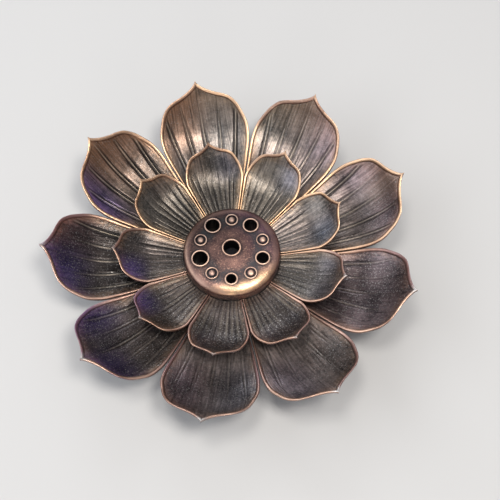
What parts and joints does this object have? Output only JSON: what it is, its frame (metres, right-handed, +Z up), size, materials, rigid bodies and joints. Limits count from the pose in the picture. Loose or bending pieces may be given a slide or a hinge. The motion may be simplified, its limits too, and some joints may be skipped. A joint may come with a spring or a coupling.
{
  "type": "incense stick holder",
  "caption": "Lotus flower with two cast tiers of dished pointed petals round a pierced seed pod, which holds incense sticks upright and lets the ash fall on the petals.",
  "frame": {"origin": "centre of the ring foot on the surface that it stands on, on the flower's axis", "axes": "+Z up along the flower's axis, +X along one petal of each tier and through one stick hole of the pod"},
  "size_m": [0.0923, 0.0936, 0.0179],
  "materials": {
    "antique_copper_petals": "dark patina over a copper plate, worn bright on rims and tips",
    "antique_copper_pod": "reddish brown patina over a copper plate, worn bright on the rings",
    "plain_steel": "plain zinc-plated steel"
  },
  "bodies": {
    "root": {"outer_petal_tier": "antique_copper_petals", "inner_petal_tier": "antique_copper_petals", "seed_pod": "antique_copper_pod", "fixing_screw": "plain_steel", "screw_washer": "plain_steel"}
  },
  "joints": []
}
